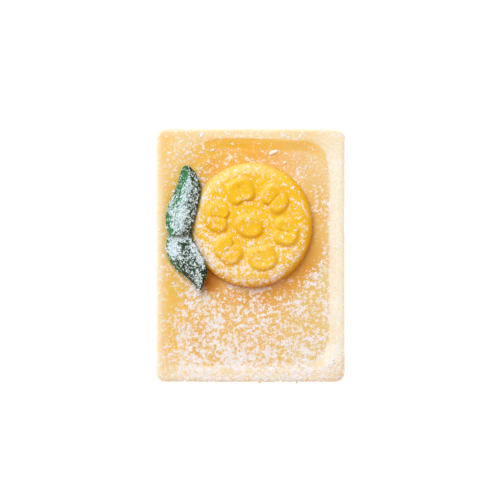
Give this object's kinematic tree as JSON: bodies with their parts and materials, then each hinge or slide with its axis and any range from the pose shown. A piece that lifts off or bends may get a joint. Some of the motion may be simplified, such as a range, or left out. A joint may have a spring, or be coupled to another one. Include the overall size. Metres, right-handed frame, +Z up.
{
  "type": "chocolate bonbon",
  "caption": "Rectangular moulded bonbon with a raised rim round a shallow recess, holding a round disc with petal relief and green leaves at its side.",
  "frame": {"origin": "middle of the tile's base, on the surface it stands on", "axes": "+Y along the tile's long side towards the disc's end, +Z up out of the recess, +X to the side away from the leaves"},
  "size_m": [0.026, 0.035, 0.0111],
  "materials": {
    "ivory_chocolate": "satin ivory white chocolate, dusted with icing sugar",
    "yellow_chocolate": "bright yellow moulded chocolate, softly glossy",
    "leaf_green": "dark green sugar paste, satin under icing sugar",
    "icing_sugar": "fine white icing sugar, matte; only the visual model has it"
  },
  "bodies": {
    "root": {"shell": "ivory_chocolate", "disc": "yellow_chocolate", "leaf_upper": "leaf_green", "leaf_lower": "leaf_green"}
  },
  "joints": []
}
